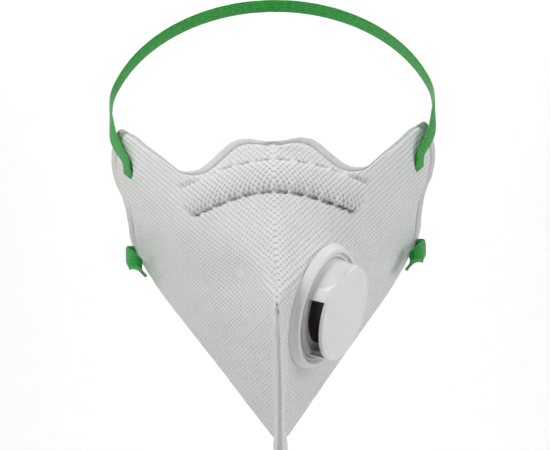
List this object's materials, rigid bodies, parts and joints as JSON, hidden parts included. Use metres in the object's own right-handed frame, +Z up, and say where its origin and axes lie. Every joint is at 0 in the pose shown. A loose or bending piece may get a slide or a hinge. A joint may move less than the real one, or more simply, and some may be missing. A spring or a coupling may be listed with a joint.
{
  "type": "disposable dust mask",
  "caption": "White flat-fold dust mask with a round exhale valve on one cheek, a welded chin seam, a ribbed nose band and a green elastic strap.",
  "frame": {"origin": "middle of the face opening, on the sagittal plane, level with the slots' midpoint", "axes": "+X to the side with the valve, -Y out of the front of the mask, +Z up as worn"},
  "size_m": [0.1562, 0.1885, 0.2061],
  "materials": {
    "cover": "embossed white nonwoven",
    "filter": "soft white nonwoven",
    "lining": "smooth white nonwoven",
    "weld": "pressed white nonwoven weld",
    "plastic": "satin white polypropylene",
    "silicone": "dark brown film",
    "metal": "soft strip",
    "foam": "soft foam",
    "elastic": "ribbed green elastic"
  },
  "bodies": {
    "nose_bridge": {"nose_clip": "metal", "nose_pocket": "cover", "nose_foam": "foam"},
    "nose_left": {"outer_cover_nose_left": "cover", "filter_nose_left": "filter", "lining_nose_left": "lining", "hem_nose_left": "weld"},
    "nose_right": {"outer_cover_nose_right": "cover", "filter_nose_right": "filter", "lining_nose_right": "lining", "hem_nose_right": "weld"},
    "cheek_left": {"outer_cover_cheek_left": "cover", "filter_cheek_left": "filter", "lining_cheek_left": "lining", "hem_cheek_left": "weld", "strap_run_left": "elastic"},
    "cheek_right": {"outer_cover_cheek_right": "cover", "filter_cheek_right": "filter", "lining_cheek_right": "lining", "hem_cheek_right": "weld", "strap_run_right": "elastic", "valve_base": "plastic", "valve_cap": "plastic", "valve_ring": "plastic"},
    "chin": {"chin_seam": "weld"},
    "flap": {"valve_flap": "silicone"},
    "head_strap": {"head_strap": "elastic"},
    "neck_strap": {"neck_strap": "elastic"}
  },
  "joints": [
    {"name": "fold_left", "type": "hinge", "parent": "nose_bridge", "child": "nose_left", "pos_m": [0, -0.095, -0.0267], "axis": [0, -0.5651, -0.825], "range_deg": [0, 50], "deforming": ["nose_clip", "nose_pocket", "nose_foam", "head_strap", "neck_strap"]},
    {"name": "fold_right", "type": "hinge", "parent": "nose_bridge", "child": "nose_right", "pos_m": [0, -0.095, -0.0267], "axis": [0, 0.5651, 0.825], "range_deg": [0, 50]},
    {"name": "cheek_bend_left", "type": "hinge", "parent": "nose_left", "child": "cheek_left", "pos_m": [0, -0.095, -0.0267], "axis": [-0.5162, 0.7178, 0.4672], "range_deg": [0, 44.1]},
    {"name": "cheek_bend_right", "type": "hinge", "parent": "nose_right", "child": "cheek_right", "pos_m": [0, -0.095, -0.0267], "axis": [-0.5162, -0.7178, -0.4672], "range_deg": [0, 44.1]},
    {"name": "chin_seam_swing", "type": "hinge", "parent": "nose_bridge", "child": "chin", "pos_m": [0, -0.095, -0.0267], "axis": [-1, 0, 0], "range_deg": [0, 14.6]},
    {"name": "head_strap_swing", "type": "hinge", "parent": "nose_bridge", "child": "head_strap", "pos_m": [0, 0.001, 0.026], "axis": [1, 0, 0], "range_deg": [-45, 60]},
    {"name": "neck_strap_swing", "type": "hinge", "parent": "nose_bridge", "child": "neck_strap", "pos_m": [0, 0.001, -0.02], "axis": [1, 0, 0], "range_deg": [-35, 40]},
    {"name": "valve_flap_hinge", "type": "hinge", "parent": "cheek_right", "child": "flap", "pos_m": [0.02018, -0.07112, -0.02141], "axis": [-0.5153, -0.7785, -0.3582], "range_deg": [0, 12], "stiffness_Nm_per_rad": 0.0004, "springref_deg": -8.59}
  ],
  "couplings": [
    {"joint": "fold_right", "follows": "fold_left", "ratio": 1},
    {"joint": "cheek_bend_left", "follows": "fold_left", "ratio": 0.88},
    {"joint": "cheek_bend_right", "follows": "fold_left", "ratio": 0.88},
    {"joint": "chin_seam_swing", "follows": "fold_left", "ratio": 0.29}
  ]
}
